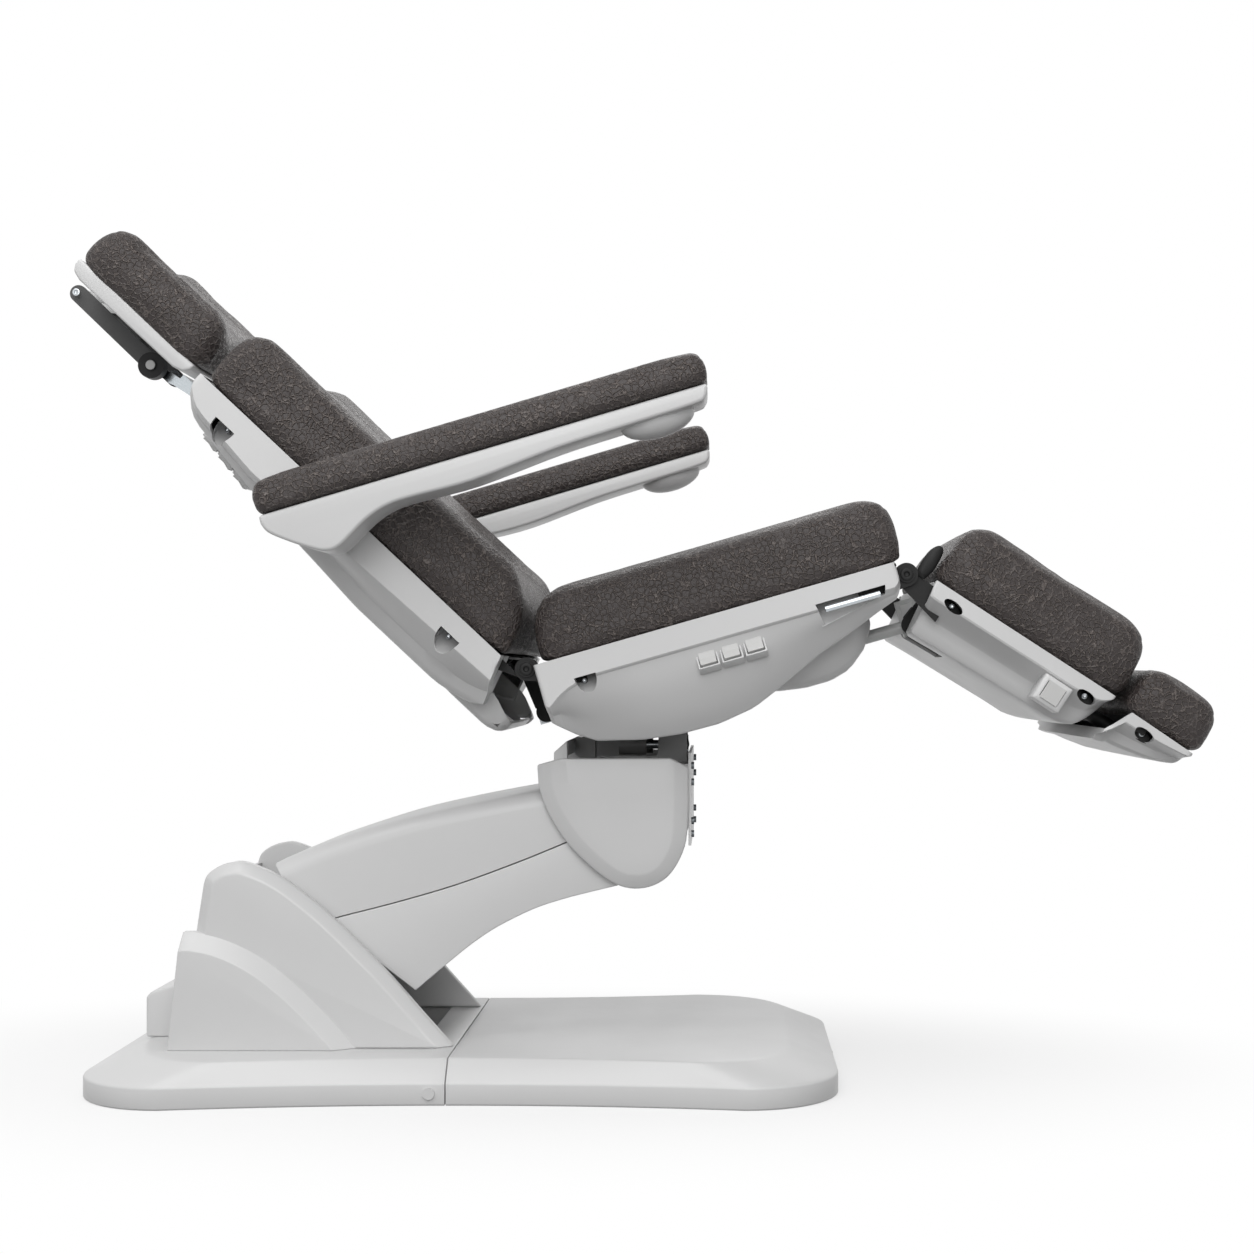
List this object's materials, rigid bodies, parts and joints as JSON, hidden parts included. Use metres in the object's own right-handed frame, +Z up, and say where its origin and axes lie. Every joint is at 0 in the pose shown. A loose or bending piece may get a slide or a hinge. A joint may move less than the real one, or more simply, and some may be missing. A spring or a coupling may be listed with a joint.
{
  "type": "facial bed",
  "caption": "Electric facial bed with a lifting arm on a floor base, tilting seat, reclining back, raising leg rest, armrests and sliding headrest.",
  "frame": {"origin": "centre of the base on the floor", "axes": "+X towards the foot end, +Z up, -Y is the near side of the picture"},
  "size_m": [1.6309, 0.8598, 1.2209],
  "materials": {
    "upholstery": "fine pebbled dark taupe",
    "cover_grey": "satin light grey moulding",
    "switch_grey": "satin light grey",
    "black_steel": "black powder coat",
    "steel": "bright zinc",
    "pale_rod": "pale grey enamel",
    "chrome": "polished",
    "black_plastic": "black moulding"
  },
  "bodies": {
    "base": {"base_plate": "black_steel", "rear_base_cover": "cover_grey", "front_base_cover": "cover_grey", "tower_cover_near": "cover_grey", "tower_cover_far": "cover_grey", "tower_frame": "black_steel", "tower_pins": "steel", "service_box": "cover_grey", "power_inlet": "black_plastic", "control_box": "black_plastic", "base_cover_screws": "cover_grey"},
    "lift_arm": {"arm_frame": "black_steel", "arm_upper_cover": "cover_grey", "arm_lower_cover": "cover_grey", "lift_actuator": "black_plastic"},
    "lift_rod_body": {"lift_rod": "steel"},
    "link": {"parallel_link": "black_steel"},
    "carriage": {"carriage_frame": "black_steel", "carriage_cover_near": "cover_grey", "carriage_cover_far": "cover_grey", "carriage_front_panel": "cover_grey", "panel_screws": "black_plastic", "carriage_pins": "steel", "tilt_actuator": "black_plastic"},
    "tilt_rod_body": {"tilt_rod": "steel"},
    "seat": {"seat_frame": "black_steel", "seat_shell": "cover_grey", "seat_cushion": "upholstery", "seat_side_rod": "chrome", "seat_hinge_pins": "black_steel", "back_actuator": "black_plastic", "leg_actuator": "black_plastic"},
    "back_rod_body": {"back_rod": "steel"},
    "leg_rod_body": {"leg_rod": "pale_rod"},
    "seat_switch_1": {"seat_rocker_1": "switch_grey"},
    "seat_switch_2": {"seat_rocker_2": "switch_grey"},
    "seat_switch_3": {"seat_rocker_3": "switch_grey"},
    "back": {"back_frame": "black_steel", "back_shell": "cover_grey", "back_cushion": "upholstery"},
    "back_switch_1": {"back_rocker_1": "switch_grey"},
    "back_switch_2": {"back_rocker_2": "switch_grey"},
    "back_switch_3": {"back_rocker_3": "switch_grey"},
    "armrest_near": {"armrest_carrier_near": "cover_grey", "armrest_pad_near": "upholstery"},
    "armrest_far": {"armrest_carrier_far": "cover_grey", "armrest_pad_far": "upholstery"},
    "head_slide": {"head_slide_bracket": "chrome"},
    "head_arm": {"headrest_arm": "black_steel"},
    "head_knob": {"headrest_knob": "black_plastic"},
    "headrest": {"headrest_tray": "cover_grey", "headrest_cushion": "upholstery"},
    "leg": {"leg_frame": "black_steel", "leg_shell": "cover_grey", "leg_cushion": "upholstery"},
    "leg_push_button": {"leg_button": "switch_grey"},
    "foot": {"foot_rails": "black_steel", "foot_shell": "cover_grey", "foot_cushion": "upholstery"}
  },
  "joints": [
    {"name": "lift", "type": "hinge", "parent": "base", "child": "lift_arm", "pos_m": [-0.25, 0, 0.195], "axis": [0, -1, 0], "range_deg": [-20, 13]},
    {"name": "link_swing", "type": "hinge", "parent": "base", "child": "link", "pos_m": [-0.265, 0, 0.25], "axis": [0, -1, 0], "range_deg": [-20, 13]},
    {"name": "carriage_level", "type": "hinge", "parent": "lift_arm", "child": "carriage", "pos_m": [0.24002, 0, 0.36201], "axis": [0, -1, 0], "range_deg": [-13, 20]},
    {"name": "lift_rod_slide", "type": "slide", "parent": "lift_arm", "child": "lift_rod_body", "axis": [-0.8579, 0, -0.5138], "range_m": [-0.028, 0.0185]},
    {"name": "tilt", "type": "hinge", "parent": "carriage", "child": "seat", "pos_m": [0.29062, 0, 0.54601], "axis": [0, 1, 0], "range_deg": [0, 16]},
    {"name": "tilt_rod_slide", "type": "slide", "parent": "carriage", "child": "tilt_rod_body", "axis": [1, 0, 0], "range_m": [-0.0195, 0.0005]},
    {"name": "recline", "type": "hinge", "parent": "seat", "child": "back", "pos_m": [0.09606, 0, 0.58998], "axis": [0, -1, 0], "range_deg": [0, 60]},
    {"name": "back_rod_slide", "type": "slide", "parent": "seat", "child": "back_rod_body", "axis": [0.9613, 0, 0.2756], "range_m": [0, 0.0645]},
    {"name": "leg_raise", "type": "hinge", "parent": "seat", "child": "leg", "pos_m": [0.61357, 0, 0.71892], "axis": [0, -1, 0], "range_deg": [-20, 49]},
    {"name": "leg_rod_slide", "type": "slide", "parent": "seat", "child": "leg_rod_body", "axis": [0.9613, 0, 0.2756], "range_m": [-0.022, 0.0532]},
    {"name": "foot_extend", "type": "slide", "parent": "leg", "child": "foot", "axis": [0.8387, 0, -0.5446], "range_m": [0, 0.1]},
    {"name": "armrest_near_swing", "type": "hinge", "parent": "back", "child": "armrest_near", "pos_m": [-0.16684, -0.32, 0.775], "axis": [0, -1, 0], "range_deg": [-60, 90]},
    {"name": "armrest_far_swing", "type": "hinge", "parent": "back", "child": "armrest_far", "pos_m": [-0.16684, 0.32, 0.775], "axis": [0, -1, 0], "range_deg": [-60, 90]},
    {"name": "headrest_slide", "type": "slide", "parent": "back", "child": "head_slide", "axis": [-0.729, 0, 0.6845], "range_m": [0, 0.08]},
    {"name": "headrest_arm_swing", "type": "hinge", "parent": "head_slide", "child": "head_arm", "pos_m": [-0.46682, 0, 1.03214], "axis": [0, -1, 0], "range_deg": [-5, 45]},
    {"name": "headrest_tilt", "type": "hinge", "parent": "head_arm", "child": "headrest", "pos_m": [-0.5788, 0, 1.14005], "axis": [0, -1, 0], "range_deg": [0, 40]},
    {"name": "knob_turn", "type": "hinge", "parent": "head_arm", "child": "head_knob", "pos_m": [-0.46682, -0.07, 1.03214], "axis": [0, 1, 0], "continuous": true},
    {"name": "seat_switch_1_rock", "type": "hinge", "parent": "seat", "child": "seat_switch_1", "pos_m": [0.34281, -0.2889, 0.60382], "axis": [0.9613, 0, 0.2756], "range_deg": [-6, 6], "stiffness_Nm_per_rad": 0.05},
    {"name": "seat_switch_2_rock", "type": "hinge", "parent": "seat", "child": "seat_switch_2", "pos_m": [0.37453, -0.2889, 0.61291], "axis": [0.9613, 0, 0.2756], "range_deg": [-6, 6], "stiffness_Nm_per_rad": 0.05},
    {"name": "seat_switch_3_rock", "type": "hinge", "parent": "seat", "child": "seat_switch_3", "pos_m": [0.40625, -0.2889, 0.62201], "axis": [0.9613, 0, 0.2756], "range_deg": [-6, 6], "stiffness_Nm_per_rad": 0.05},
    {"name": "back_switch_1_rock", "type": "hinge", "parent": "back", "child": "back_switch_1", "pos_m": [-0.34755, -0.19, 0.90729], "axis": [0, 1, 0], "range_deg": [-6, 6], "stiffness_Nm_per_rad": 0.05},
    {"name": "back_switch_2_rock", "type": "hinge", "parent": "back", "child": "back_switch_2", "pos_m": [-0.32691, -0.19, 0.88107], "axis": [0, 1, 0], "range_deg": [-6, 6], "stiffness_Nm_per_rad": 0.05},
    {"name": "back_switch_3_rock", "type": "hinge", "parent": "back", "child": "back_switch_3", "pos_m": [-0.30627, -0.19, 0.85485], "axis": [0, 1, 0], "range_deg": [-6, 6], "stiffness_Nm_per_rad": 0.05},
    {"name": "leg_button_press", "type": "slide", "parent": "leg", "child": "leg_push_button", "axis": [0, 1, 0], "range_m": [0, 0.004], "stiffness_N_per_m": 150}
  ],
  "couplings": [
    {"joint": "link_swing", "follows": "lift", "ratio": 1},
    {"joint": "carriage_level", "follows": "lift", "ratio": -1},
    {"joint": "lift_rod_slide", "follows": "lift", "m_per_rad": 0.0788},
    {"joint": "tilt_rod_slide", "follows": "tilt", "m_per_rad": -0.0678},
    {"joint": "back_rod_slide", "follows": "recline", "m_per_rad": 0.0611},
    {"joint": "leg_rod_slide", "follows": "leg_raise", "m_per_rad": 0.0619}
  ]
}
